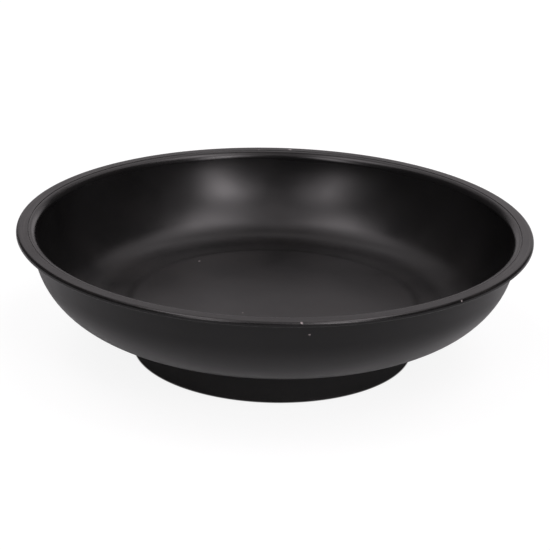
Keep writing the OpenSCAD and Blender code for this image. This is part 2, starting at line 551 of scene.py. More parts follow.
@dataclass
class Effects:
    """The node groups that the materials share, each built once.

    A pair of numbers is where a mask starts to show and where it is full. Sizes of spots are in millimetres.
    """

    blotch: Point = (0.32, 0.68)
    speckle: Point = (0.58, 0.75)
    rubbed: Point = (0.42, 0.72)
    rubbed_size: float = 1 / 0.35
    line: Point = (0.55, 0.7)
    line_turn: float = 1.5
    wobble_size: float = 9.0
    scratch: Point = (0.7, 0.76)
    scratch_angles: tuple = (0.35, 1.45, 2.5)
    scratch_squeeze: tuple = (1.0, 26.0, 6.0)
    scratch_seed_step: float = 7.0
    scratched: Point = (0.5, 0.7)
    scratched_size: float = 22.0
    speck_least: float = 0.6
    facing_up: Point = (0.2, 0.9)
    film: Point = (0.35, 0.75)
    film_size: float = 16.0

    def __post_init__(self) -> None:
        """Builds every group."""
        self.section = self._section()
        self.grain = self._grain()
        self.edge_wear = self._edge_wear()
        self.turned_lines = self._turned_lines()
        self.scuffs = self._scuffs()
        self.dust = self._dust()

    @staticmethod
    def _start(name: str, inputs: dict[str, float], outputs: Iterable[str]) -> tuple[Graph, dict, dict]:
        """Makes an empty group with number sockets.

        Args:
            name: The group's name.
            inputs: Input names with their first values.
            outputs: Output names.

        Returns:
            The graph, the group's input sockets by name, and its output sockets by name.
        """
        tree = bpy.data.node_groups.new(name, "ShaderNodeTree")
        for key, value in inputs.items():
            made = tree.interface.new_socket(key, in_out="INPUT", socket_type="NodeSocketFloat")
            made.default_value = value
        for key in outputs:
            tree.interface.new_socket(key, in_out="OUTPUT", socket_type="NodeSocketFloat")
        into, out = tree.nodes.new("NodeGroupInput"), tree.nodes.new("NodeGroupOutput")
        return Graph(tree), {k: into.outputs[k] for k in inputs}, {k: out.inputs[k] for k in outputs}

    def _section(self) -> NodeTree:
        """Radius, height and turn about the part's axis, in millimetres and radians.

        Returns:
            The node group.
        """
        g, _, out = self._start("turned_section", {}, ("Radius", "Height", "Turn"))
        x, y, z = g.split(g.millimetres())
        g.feed(out["Radius"], g.length(x, y))
        g.feed(out["Height"], z)
        g.feed(out["Turn"], g.math("ARCTAN2", y, x))
        return g.tree

    def _grain(self) -> NodeTree:
        """Fine grain of a moulded or cast surface, with broad blotches.

        Returns:
            The node group.
        """
        g, into, out = self._start("moulded_grain", {"Size": 0.3, "Blotch Size": 12.0, "Seed": 0.0},
                                   ("Height", "Blotch", "Speckle"))
        at = g.millimetres()
        fine = g.noise(at, into["Size"], detail=3.0, seed=into["Seed"], rough=0.6)
        broad = g.noise(at, into["Blotch Size"], detail=3.0, seed=into["Seed"])
        g.feed(out["Height"], fine)
        g.feed(out["Blotch"], g.ramp(broad, *self.blotch))
        g.feed(out["Speckle"], g.ramp(fine, *self.speckle))
        return g.tree

    def _edge_wear(self) -> NodeTree:
        """Rubbed, paler plastic along one round edge, broken up by noise.

        Returns:
            The node group.
        """
        g, into, out = self._start("edge_wear", {"Radius": 75.0, "Height": 38.0, "Width": 0.5, "Seed": 0.0},
                                   ("Mask",))
        here = g.use(self.section)
        across = g.math("SUBTRACT", here["Radius"], into["Radius"])
        up = g.math("SUBTRACT", here["Height"], into["Height"])
        near = g.math("SUBTRACT", 1.0, g.math("DIVIDE", g.length(across, up), into["Width"]), clamp=True)
        broken = g.noise(g.millimetres(), self.rubbed_size, detail=5.0, seed=into["Seed"], rough=0.7)
        g.feed(out["Mask"], g.math("MULTIPLY", near, g.ramp(broken, *self.rubbed)))
        return g.tree

    def _turned_lines(self) -> NodeTree:
        """Fine lines round the axis, as a turned mould leaves them.

        Returns:
            The node group.
        """
        g, into, out = self._start("turned_lines", {"Pitch": 0.4, "Waviness": 0.1, "Seed": 0.0},
                                   ("Height", "Line"))
        here = g.use(self.section)
        wobble = g.noise(g.millimetres(), self.wobble_size, detail=1.0, seed=3.0)
        shift = g.math("MULTIPLY", g.math("SUBTRACT", wobble, 0.5), into["Waviness"])
        lane = g.math("DIVIDE", g.math("ADD", here["Radius"], shift), into["Pitch"])
        across = g.math("ADD", lane, g.math("DIVIDE", here["Height"], into["Pitch"]))
        along = g.math("MULTIPLY", here["Turn"], self.line_turn)
        at = g.add("CombineXYZ", inputs={0: across, 1: along, 2: into["Seed"]}).outputs[0]
        inputs = {"Vector": at, "Scale": 1.0, "Detail": 2.0}
        lines = g.add("TexNoise", {"noise_dimensions": "3D"}, inputs).outputs["Fac"]
        g.feed(out["Height"], lines)
        g.feed(out["Line"], g.ramp(lines, *self.line))
        return g.tree

    def _scuffs(self) -> NodeTree:
        """Short hairline scratches in several directions.

        Returns:
            The node group.
        """
        g, into, out = self._start("scuffs", {"Size": 18.0, "Amount": 0.5, "Seed": 0.0}, ("Mask",))
        at = g.millimetres()
        total: Value = 0.0
        for step, angle in enumerate(self.scratch_angles):
            turned = g.add("VectorRotate", {"rotation_type": "Z_AXIS"}, {"Vector": at, "Angle": angle})
            squeezed = g.vector("MULTIPLY", turned.outputs[0], self.scratch_squeeze)[0]
            seed = g.math("ADD", into["Seed"], self.scratch_seed_step * step)
            line = g.ramp(g.noise(squeezed, into["Size"], seed=seed), *self.scratch)
            total = g.math("MAXIMUM", total, line)
        gate = g.ramp(g.noise(at, self.scratched_size, seed=5.0), *self.scratched)
        g.feed(out["Mask"], g.math("MULTIPLY", g.math("MULTIPLY", total, gate), into["Amount"]))
        return g.tree

    def _dust(self) -> NodeTree:
        """Specks of dust and lint, more on faces that look up.

        Returns:
            The node group.
        """
        g, into, out = self._start("dust", {"Spacing": 9.0, "Speck": 0.03, "Film": 0.5, "Seed": 0.0},
                                   ("Specks", "Film"))
        at = g.millimetres()
        inputs = {"Vector": at, "W": into["Seed"], "Scale": g.math("DIVIDE", 1.0, into["Spacing"])}
        cells = g.add("TexVoronoi", {"voronoi_dimensions": "4D", "feature": "F1"}, inputs).outputs
        pick = g.add("SeparateColor", inputs={0: cells["Color"]}).outputs[0]
        kept = g.math("MULTIPLY", g.math("GREATER_THAN", pick, self.speck_least), pick)
        speck = g.math("LESS_THAN", cells["Distance"], g.math("MULTIPLY", into["Speck"], kept))
        flat = g.ramp(g.split(g.add("NewGeometry").outputs["Normal"])[2], *self.facing_up)
        cloud = g.ramp(g.noise(at, self.film_size, detail=4.0, seed=11.0), *self.film)
        g.feed(out["Specks"], g.math("MULTIPLY", speck, flat))
        g.feed(out["Film"], g.math("MULTIPLY", g.math("MULTIPLY", cloud, flat), into["Film"]))
        return g.tree


# Finishes


@dataclass(frozen=True)
class Layer:
    """What a mask does to a finish: it mixes in a share of a colour, and adds to roughness and height."""

    mask: Socket
    colour: Colour | None = None
    share: float = 1.0
    rough: float = 0.0
    height: float = 0.0


@dataclass(frozen=True)
class Finish:
    """A material as a ground colour with layers. Depth in millimetres is what a height of 1 stands for."""

    name: str
    slot: Slot
    colour: Colour = (0.5, 0.5, 0.5, 1.0)
    roughness: float = 0.5
    depth: float = 0.03
    settings: tuple = ()

    def _layers(self, g: Graph, effects: Effects) -> list[Layer]:
        """The layers from the ground up."""
        raise NotImplementedError

    def build(self, effects: Effects) -> Material:
        """Makes the material.

        Args:
            effects: The shared node groups.

        Returns:
            The material.
        """
        material = bpy.data.materials.new(self.name)
        g = cleared_graph(material)
        colour: Value = self.colour
        rough: Value = self.roughness
        height: Value = 0.0
        for layer in self._layers(g, effects):
            if layer.colour:
                colour = g.mix(g.share(layer.mask, layer.share), colour, layer.colour)
            if layer.rough:
                rough = g.math("ADD", rough, g.share(layer.mask, layer.rough), clamp=True)
            if layer.height:
                height = g.math("ADD", height, g.share(layer.mask, layer.height))
        bump = g.add("Bump", inputs={"Strength": 1.0, "Distance": self.depth * MM, "Height": height})
        inputs = {"Base Color": colour, "Roughness": rough, "Normal": bump.outputs["Normal"]}
        shader = g.add("BsdfPrincipled", inputs={**inputs, **dict(self.settings)})
        g.feed(g.add("OutputMaterial").inputs["Surface"], shader.outputs[0])
        return material


@dataclass(frozen=True)
class DishPlastic(Finish):
    """Satin black moulded plastic with fine grain, turned lines on the flange and rubbed edges.

    The two bands are depths below the rim. Each nick is its x, y, z and size.
    """

    colour: Colour = (0.0041, 0.0040, 0.0041, 1.0)
    roughness: float = 0.277
    settings: tuple = (("IOR", 1.48),)
    cloudy: Colour = (0.0057, 0.0055, 0.0056, 1.0)
    rubbed: Colour = (0.060, 0.057, 0.053, 1.0)
    dust: Colour = (0.16, 0.13, 0.11, 1.0)
    chipped: Colour = (0.34, 0.30, 0.30, 1.0)
    rim_r: float = 75.0
    rim_z: float = 38.2
    land_r: float = 71.6
    land_edge: float = 0.1
    top_band: Point = (0.12, 0.04)
    gloss_band: Point = (3.0, 1.5)
    nick_core: float = 0.4
    nick_wobble: float = 0.9
    nicks: tuple = ((-23.4, 30.7, 14.3, 0.40), (-68.9, 16.6, 37.6, 0.30), (-8.8, -10.8, 14.3, 0.35),
                    (7.4, -74.3, 38.1, 0.45), (9.6, -69.9, 33.0, 0.35), (4.2, 72.6, 38.2, 0.80),
                    (-5.9, 71.7, 38.0, 0.40), (49.7, -56.0, 37.9, 0.35), (-62.9, 24.7, 28.2, 0.25),
                    (-63.2, 15.9, 23.6, 0.22), (35.3, 54.1, 22.8, 0.20))

    def _nicks(self, g: Graph) -> Socket:
        """Small pale nicks and crumbs at set places.

        Args:
            g: The material's graph.

        Returns:
            Their mask.
        """
        at = g.millimetres()
        ragged = g.noise(at, size=0.5, seed=8.0)
        broken = g.math("MULTIPLY", g.math("SUBTRACT", ragged, 0.5), self.nick_wobble)
        total: Value = 0.0
        for *place, size in self.nicks:
            away = g.math("ADD", g.vector("DISTANCE", at, tuple(place))["Value"], broken)
            total = g.math("MAXIMUM", total, g.ramp(away, size * self.nick_core, size, (1.0, 0.0)))
        return total

    def _layers(self, g: Graph, effects: Effects) -> list[Layer]:
        """Blotches, rubbed edges, scuffs, dust, the flange's turned lines and the nicks.

        Args:
            g: The material's graph.
            effects: The shared node groups.

        Returns:
            The layers from the ground up.
        """
        here = g.use(effects.section)
        grain = g.use(effects.grain, Size=0.35, Blotch_Size=14.0, Seed=1.0)
        lines = g.use(effects.turned_lines, Pitch=0.42, Waviness=0.12, Seed=2.0)
        scuffs = g.use(effects.scuffs, Size=16.0, Amount=0.6, Seed=4.0)["Mask"]
        dust = g.use(effects.dust, Spacing=11.0, Speck=0.022, Film=0.35, Seed=6.0)
        rim = g.use(effects.edge_wear, Radius=self.rim_r, Height=self.rim_z, Width=0.55, Seed=1.0)["Mask"]
        step = g.use(effects.edge_wear, Radius=self.land_r, Height=self.rim_z, Width=0.3, Seed=3.0)["Mask"]
        top, gloss = (g.ramp(here["Height"], self.rim_z - low, self.rim_z - high)
                      for low, high in (self.top_band, self.gloss_band))
        land = g.ramp(here["Radius"], self.land_r - self.land_edge, self.land_r + self.land_edge)
        land = g.math("MULTIPLY", land, top)
        return [Layer(grain["Blotch"], self.cloudy, rough=0.05), Layer(grain["Height"], height=0.35),
                Layer(g.math("MAXIMUM", rim, step), self.rubbed, share=0.5, rough=-0.10),
                Layer(scuffs, self.rubbed, share=0.3, rough=0.08, height=-0.15),
                Layer(dust["Film"], self.dust, share=0.06, rough=0.10),
                Layer(dust["Specks"], self.dust, share=0.7),
                Layer(land, rough=0.10),
                Layer(g.math("MULTIPLY", land, lines["Line"]), self.rubbed, share=0.35),
                Layer(g.math("MULTIPLY", land, lines["Height"]), height=1.8),
                Layer(gloss, rough=-0.06),
                Layer(self._nicks(g), self.chipped, height=2.0)]


@dataclass(frozen=True)
class BasePlastic(Finish):
    """Matte black moulded plastic with a coarser grain and a scuffed foot."""

    colour: Colour = (0.0045, 0.0044, 0.0043, 1.0)
    roughness: float = 0.58
    depth: float = 0.035
    settings: tuple = (("IOR", 1.41),)
    cloudy: Colour = (0.0075, 0.0073, 0.0071, 1.0)
    rubbed: Colour = (0.045, 0.043, 0.040, 1.0)
    dust: Colour = (0.14, 0.12, 0.10, 1.0)
    base_r: float = 41.6
    foot_z: float = 0.3

    def _layers(self, g: Graph, effects: Effects) -> list[Layer]:
        """Blotches, the rubbed foot, scuffs and dust.

        Args:
            g: The material's graph.
            effects: The shared node groups.

        Returns:
            The layers from the ground up.
        """
        grain = g.use(effects.grain, Size=0.5, Blotch_Size=10.0, Seed=9.0)
        scuffs = g.use(effects.scuffs, Size=12.0, Amount=0.7, Seed=12.0)["Mask"]
        dust = g.use(effects.dust, Spacing=8.0, Speck=0.025, Film=0.5, Seed=14.0)
        worn = g.use(effects.edge_wear, Radius=self.base_r, Height=self.foot_z, Width=0.9, Seed=5.0)["Mask"]
        return [Layer(grain["Blotch"], self.cloudy, rough=0.08), Layer(grain["Height"], height=1.0),
                Layer(worn, self.rubbed, share=0.6, rough=-0.12),
                Layer(scuffs, self.rubbed, share=0.35, height=-0.3),
                Layer(dust["Specks"], self.dust, share=0.6)]


@dataclass(frozen=True)
class Ferrite(Finish):
    """Sintered ferrite: dark grey, granular, with small chips along its chamfers."""

    colour: Colour = (0.030, 0.030, 0.032, 1.0)
    roughness: float = 0.52
    depth: float = 0.06
    settings: tuple = (("IOR", 1.9),)
    pale: Colour = (0.060, 0.060, 0.063, 1.0)
    chip: Colour = (0.100, 0.098, 0.098, 1.0)
    chipped: Point = (0.1, 0.6)
    edge_r: Point = (30.0, 12.0)
    edge_z: Point = (3.95, 11.95)

    def _layers(self, g: Graph, effects: Effects) -> list[Layer]:
        """Blotches, pale grains, ground faces and chipped edges.

        Args:
            g: The material's graph.
            effects: The shared node groups.

        Returns:
            The layers from the ground up.
        """
        grain = g.use(effects.grain, Size=0.6, Blotch_Size=7.0, Seed=21.0)
        ground = g.use(effects.scuffs, Size=9.0, Amount=0.8, Seed=23.0)["Mask"]
        chips: Value = 0.0
        for seed, (radius, height) in enumerate((r, z) for r in self.edge_r for z in self.edge_z):
            edge = g.use(effects.edge_wear, Radius=radius, Height=height, Width=1.1, Seed=31.0 + seed)
            chips = g.math("MAXIMUM", chips, edge["Mask"])
        return [Layer(grain["Blotch"], self.pale, rough=0.12), Layer(grain["Height"], height=1.0),
                Layer(grain["Speckle"], self.chip, share=0.4),
                Layer(ground, rough=-0.15),
                Layer(g.ramp(chips, *self.chipped), self.chip, height=-1.4)]


@dataclass(frozen=True)
class PlatedSteel(Finish):
    """Zinc-plated steel with a soft spangle, fine scratches and dull edges."""

    colour: Colour = (0.58, 0.585, 0.60, 1.0)
    roughness: float = 0.30
    depth: float = 0.012
    settings: tuple = (("Metallic", 1.0),)
    dull: Colour = (0.40, 0.405, 0.41, 1.0)
    spangle: float = 2.5
    seed: float = 41.0

    def _layers(self, g: Graph, effects: Effects) -> list[Layer]:
        """The spangle and the scratches.

        Args:
            g: The material's graph.
            effects: The shared node groups.

        Returns:
            The layers from the ground up.
        """
        grain = g.use(effects.grain, Size=0.18, Blotch_Size=self.spangle, Seed=self.seed)
        scratches = g.use(effects.scuffs, Size=6.0, Amount=1.0, Seed=self.seed + 3.0)["Mask"]
        return [Layer(grain["Blotch"], self.dull, rough=0.16), Layer(grain["Height"], height=1.0),
                Layer(scratches, self.dull, share=0.5, rough=0.2, height=-0.5)]


@dataclass(frozen=True)
class CellFoam(Finish):
    """Closed-cell foam: small rounded cells with a matte skin."""

    colour: Colour = (0.035, 0.035, 0.037, 1.0)
    roughness: float = 0.88
    depth: float = 0.12
    settings: tuple = (("Sheen Weight", 0.15),)
    pale: Colour = (0.075, 0.075, 0.078, 1.0)
    cell: float = 0.45
    cell_wall: Point = (0.25, 0.75)

    def _layers(self, g: Graph, effects: Effects) -> list[Layer]:
        """The paler cell walls, with blotches over them.

        Args:
            g: The material's graph.
            effects: The shared node groups.

        Returns:
            The layers from the ground up.
        """
        blotch = g.use(effects.grain, Size=0.25, Blotch_Size=5.0, Seed=51.0)["Blotch"]
        wall = g.ramp(g.cells(self.cell, smooth=0.4), *self.cell_wall)
        return [Layer(wall, self.pale, rough=-0.1, height=1.0), Layer(blotch, self.colour, share=0.4)]


@dataclass(frozen=True)
class PadRubber(Finish):
    """Matte black rubber with a pebbled face, picked-up dust and a paler worn crown."""

    colour: Colour = (0.0120, 0.0118, 0.0115, 1.0)
    roughness: float = 0.72
    depth: float = 0.05
    settings: tuple = (("IOR", 1.45),)
    pale: Colour = (0.026, 0.0255, 0.025, 1.0)
    dust: Colour = (0.17, 0.15, 0.13, 1.0)
    pebble: float = 0.7
    crown_z: Point = (0.02, 0.12)

    def _layers(self, g: Graph, effects: Effects) -> list[Layer]:
        """The worn crown, lint, dust and pebbles.

        Args:
            g: The material's graph.
            effects: The shared node groups.

        Returns:
            The layers from the ground up.
        """
        grain = g.use(effects.grain, Size=0.4, Blotch_Size=9.0, Seed=61.0)
        lint = g.use(effects.scuffs, Size=7.0, Amount=0.9, Seed=63.0)["Mask"]
        crown = g.ramp(g.use(effects.section)["Height"], *self.crown_z, (1.0, 0.0))
        return [Layer(g.math("MULTIPLY", crown, grain["Blotch"]), self.pale),
                Layer(lint, self.dust, share=0.5),
                Layer(grain["Speckle"], self.dust, share=0.12),
                Layer(grain["Blotch"], rough=0.1), Layer(grain["Height"], height=0.3),
                Layer(crown, rough=-0.08),
                Layer(g.cells(self.pebble, smooth=0.6), height=0.8)]


@dataclass(frozen=True)
class TapeFilm(Finish):
    """Double-sided tape: cloudy adhesive on a pale tissue with trapped air."""

    colour: Colour = (0.62, 0.58, 0.46, 1.0)
    roughness: float = 0.42
    cloudy: Colour = (0.74, 0.71, 0.62, 1.0)
    fibre: Colour = (0.85, 0.83, 0.77, 1.0)

    def _layers(self, g: Graph, effects: Effects) -> list[Layer]:
        """The cloudy adhesive and the tissue's fibres.

        Args:
            g: The material's graph.
            effects: The shared node groups.

        Returns:
            The layers from the ground up.
        """
        grain = g.use(effects.grain, Size=0.9, Blotch_Size=6.0, Seed=71.0)
        fibres = g.use(effects.scuffs, Size=5.0, Amount=1.0, Seed=73.0)["Mask"]
        return [Layer(grain["Blotch"], self.cloudy, rough=0.2), Layer(grain["Height"], height=1.0),
                Layer(fibres, self.fibre, height=0.5)]


# Sub-assemblies


@dataclass
class Stack:
    """Heights and radii that the sub-assemblies share."""

    under_z: float = 12.3
    panel_under_z: float = 12.75
    base_r: float = 41.6
    screw_ring_r: float = 35.0
    screw_count: int = 4

    def screw_places(self) -> tuple[Point, ...]:
        """Where the screws stand."""
        turns = [(i + 0.5) * 2 * math.pi / self.screw_count for i in range(self.screw_count)]
        return tuple((self.screw_ring_r * math.cos(a), self.screw_ring_r * math.sin(a)) for a in turns)


@dataclass
class Dish:
    """The moulded dish, with the ring and the screw bosses under its floor."""

    stack: Stack
    finish: DishPlastic
    rim_r: float = 75.0
    rim_z: float = 38.2
    wall_t: float = 1.65
    wall_lean: float = 14.5
    knuckle_r: float = 22.65
    flange_t: float = 1.45
    overhang: float = 3.45
    lip_low_r: float = 0.4
    lip_high_r: float = 0.85
    flange_fillet_r: float = 0.6
    mouth_r: float = 2.2
    mouth_inset: float = 0.45
    land_step: float = 0.12
    land_ledge: float = 0.16
    crease_deep: float = 0.1
    crease_r: float = 0.05
    panel_step: float = 0.27
    slope_w: float = 4.0
    panel_inset: float = 0.9
    inside_low_r: float = 16.0
    inside_high_r: float = 30.0
    inside_turn: float = 45.0
    spigot_in_r: float = 38.0
    spigot_out_r: float = 39.4
    spigot_h: float = 2.5
    spigot_chamfer: float = 0.4
    boss_r: float = 3.3
    boss_z: float = 5.75
    hole_r: float = 1.5
    hole_top_z: float = 11.25
    overlap: float = 0.4

    def wall_line_r(self, z: float, depth: float) -> float:
        """Radius at a height of the line that lies some depth inside the wall's outer face.

        Args:
            z: The height.
            depth: The depth, which is negative outside the wall.

        Returns:
            The radius.
        """
        lean = math.radians(self.wall_lean)
        top_r, top_z = self.rim_r - self.overhang, self.rim_z - self.flange_t
        return top_r + (z - top_z) * math.tan(lean) - depth / math.cos(lean)

    def outline(self) -> Outline:
        """The dish's half section, from under the centre round to the centre of the floor panel.

        Returns:
            The closed outline.
        """
        under, panel_under = self.stack.under_z, self.stack.panel_under_z
        flange_z, mouth_z = self.rim_z - self.flange_t, self.rim_z - self.land_step
        floor_z = under + self.wall_t
        panel_z = floor_z + self.panel_step
        panel_r = self.stack.base_r - self.panel_inset
        knuckle_z = under + self.knuckle_r
        knuckle_c = self.wall_line_r(knuckle_z, 0) - self.knuckle_r / math.cos(math.radians(self.wall_lean))
        mouth_c = self.wall_line_r(mouth_z - self.mouth_r, self.wall_t - self.mouth_r) - self.mouth_inset
        land_r = mouth_c + self.land_ledge
        slope_a = 2 * math.degrees(math.atan(self.panel_step / self.slope_w))
        slope_r = self.slope_w / (2 * math.sin(math.radians(slope_a)))
        fillet, low, high = self.flange_fillet_r, self.lip_low_r, self.lip_high_r
        fillet_z = flange_z - fillet
        shape = Outline()
        shape.corner(0, panel_under).corner(self.spigot_in_r, panel_under)
        shape.corner(self.spigot_in_r, under - self.spigot_h)
        shape.corner(self.spigot_out_r - self.spigot_chamfer, under - self.spigot_h)
        shape.corner(self.spigot_out_r, under - self.spigot_h + self.spigot_chamfer)
        shape.corner(self.spigot_out_r, under)
        shape.arc(knuckle_c, knuckle_z, self.knuckle_r, -90, -self.wall_lean)
        shape.arc(self.wall_line_r(fillet_z, -fillet), fillet_z, fillet, 180 - self.wall_lean, 90)
        shape.arc(self.rim_r - low, flange_z + low, low, -90, 0)
        shape.arc(self.rim_r - high, self.rim_z - high, high, 0, 90)
        shape.corner(land_r + self.crease_deep, self.rim_z, self.crease_r)
        shape.corner(land_r, mouth_z - self.crease_deep, self.crease_r)
        upper, lower = self.inside(floor_z, (mouth_c, mouth_z - self.mouth_r))
        shape.arc(mouth_c, mouth_z - self.mouth_r, self.mouth_r, 90, 180 + upper.begin)
        shape.parts += [upper, lower]
        shape.arc(panel_r + self.slope_w, floor_z + slope_r, slope_r, -90, -90 - slope_a)
        shape.arc(panel_r, panel_z - slope_r, slope_r, 90 - slope_a, 90)
        return shape.corner(0, panel_z)

    def inside(self, floor_z: float, mouth: Point) -> tuple[Arc, Arc]:
        """The two arcs of the inside: a wide one down the wall, then a tight one into the floor.

        Args:
            floor_z: Height of the floor that the lower arc runs into.
            mouth: Centre of the mouth's round, which the upper arc touches.

        Returns:
            The upper and the lower arc.
        """
        turn, spread = math.radians(self.inside_turn), self.inside_high_r - self.inside_low_r
        low_z = floor_z + self.inside_low_r
        high_z, reach = low_z + spread * math.sin(turn), self.inside_high_r + self.mouth_r
        lean = math.asin((high_z - mouth[1]) / reach)
        high_c = mouth[0] - reach * math.cos(lean)
        low_c = high_c + spread * math.cos(turn)
        return (Arc((high_c, high_z), self.inside_high_r, -math.degrees(lean), -self.inside_turn),
                Arc((low_c, low_z), self.inside_low_r, -self.inside_turn, -90.0))

    def _post(self, name: str, radius: float, low: float, high: float) -> TurnedPiece:
        """A round post at each screw.

        Args:
            name: Its name.
            radius: Its radius.
            low: Its lower end.
            high: Its upper end.

        Returns:
            The turned piece.
        """
        shape = Outline().corner(0, low).corner(radius, low).corner(radius, high).corner(0, high)
        return TurnedPiece(name, shape, segments=48, centres=self.stack.screw_places())

    def build(self, effects: Effects) -> list[Piece]:
        """Makes the dish.

        Args:
            effects: The shared node groups.

        Returns:
            The new piece in a list.
        """
        shell = TurnedPiece("dish", self.outline())
        bosses = self._post("bosses", self.boss_r, self.boss_z, self.stack.panel_under_z + self.overlap)
        holes = self._post("boss_holes", self.hole_r, self.boss_z - self.overlap, self.hole_top_z)
        dish = shell.build()
        combine(dish, bosses.build(), "UNION")
        combine(dish, holes.build(), "DIFFERENCE")
        shade_turned(dish, (shell, bosses, holes))
        dish.data.materials.clear()
        dish.data.materials.append(self.finish.build(effects))
        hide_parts("bowl")
        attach(dish, ROOT)
        return [dish]


@dataclass
class Base:
    """The round base that closes the dish from below, with its four screws."""

    finish: BasePlastic
    screw_finish: PlatedSteel

    def build(self, effects: Effects) -> list[Piece]:
        """Dresses the base and its screws."""
        return [dress_node("base_housing", self.finish, effects),
                dress_node("base_screws", self.screw_finish, effects)]


@dataclass
class MagnetPack:
    """The ring magnet with the steel plate under it and the foam ring above it."""

    magnet_finish: Ferrite
    plate_finish: PlatedSteel
    foam_finish: CellFoam
    foam_out_r: float = 29.0
    foam_in_r: float = 13.0
    foam_low_z: float = 11.95
    foam_high_z: float = 12.75
    foam_edge_r: float = 0.25

    def _foam(self, effects: Effects) -> Piece:
        """Makes the squeezed foam ring.

        Args:
            effects: The shared node groups.

        Returns:
            The new piece.
        """
        shape = Outline()
        for radius, height in ((self.foam_in_r, self.foam_low_z), (self.foam_out_r, self.foam_low_z),
                               (self.foam_out_r, self.foam_high_z), (self.foam_in_r, self.foam_high_z)):
            shape.corner(radius, height, self.foam_edge_r)
        turned = TurnedPiece("foam_ring", shape, segments=192, longest=1.0, degrees=9.0)
        foam = turned.build()
        shade_turned(foam, (turned,))
        foam.data.materials.append(self.foam_finish.build(effects))
        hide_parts("magnet_cushion")
        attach(foam, ROOT)
        return foam

    def build(self, effects: Effects) -> list[Piece]:
        """Dresses the magnet and the plate, and makes the foam ring."""
        return [dress_node("ring_magnet", self.magnet_finish, effects),
                dress_node("backing_plate", self.plate_finish, effects), self._foam(effects)]


@dataclass
class Foot:
    """The rubber pad that the bowl stands on, and the tape that holds it."""

    pad_finish: PadRubber
    tape_finish: TapeFilm
    pad_r: float = 39.15
    pad_t: float = 1.2
    edge_chamfer: float = 0.25
    groove_count: int = 3
    groove_w: float = 1.2
    groove_depth: float = 0.35
    groove_edge_r: float = 0.1
    edge_r: float = 0.06

    def _pad(self, effects: Effects) -> Piece:
        """Makes the pad with its round grip grooves.

        Args:
            effects: The shared node groups.

        Returns:
            The new piece.
        """
        pitch, half = self.pad_r / (self.groove_count + 1), self.groove_w / 2
        shape = Outline().corner(0, 0)
        for i in range(1, self.groove_count + 1):
            shape.corner(i * pitch - half, 0, self.groove_edge_r)
            shape.corner(i * pitch - half, self.groove_depth, self.groove_edge_r)
            shape.corner(i * pitch + half, self.groove_depth, self.groove_edge_r)
            shape.corner(i * pitch + half, 0, self.groove_edge_r)
        shape.corner(self.pad_r - self.edge_chamfer, 0, self.edge_r)
        shape.corner(self.pad_r, self.edge_chamfer, self.edge_r)
        shape.corner(self.pad_r, self.pad_t, self.edge_r).corner(0, self.pad_t)
        turned = TurnedPiece("grip_pad", shape, longest=2.0, degrees=15.0)
        pad = turned.build()
        shade_turned(pad, (turned,))
        pad.data.materials.append(self.pad_finish.build(effects))
        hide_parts("foot_pad")
        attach(pad, ROOT)
        return pad

    def build(self, effects: Effects) -> list[Piece]:
        """Makes the pad and dresses the tape."""
        return [self._pad(effects), dress_node("foot_pad_tape", self.tape_finish, effects)]


def dress_node(name: str, finish: Finish, effects: Effects) -> Piece:
    """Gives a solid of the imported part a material.

    Args:
        name: The node's name.
        finish: Its finish.
        effects: The shared node groups.

    Returns:
        The node's object.
    """
    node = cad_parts[name]
    material = finish.build(effects)
    for place in node.material_slots:
        place.material = material
    return node


# Studio and camera


@dataclass(frozen=True)
class Softbox:
    """A soft light made of round glows, each an azimuth, an elevation and a strength.

    The angles are in degrees. Azimuth 0 is behind the camera and 90 is to the right. A glow is full
    up to the inner angle from its middle, and gone at the outer one.
    """

    inner: float
    outer: float
    glows: tuple[tuple[float, float, float], ...]

    def add(self, g: Graph, way: Socket, total: Socket) -> Socket:
        """Adds the glows to the light of a world.

        Args:
            g: The world's graph.
            way: Direction that is looked at.
            total: The light so far.

        Returns:
            The light with this softbox.
        """
        edge, core = math.cos(math.radians(self.outer)), math.cos(math.radians(self.inner))
        for azimuth, elevation, strength in self.glows:
            a, e = math.radians(azimuth), math.radians(elevation)
            axis = (math.sin(a) * math.cos(e), -math.cos(a) * math.cos(e), math.sin(e))
            facing = g.vector("DOT_PRODUCT", way, axis)["Value"]
            total = g.math("ADD", total, g.ramp(facing, edge, core, (0.0, strength)))
        return total


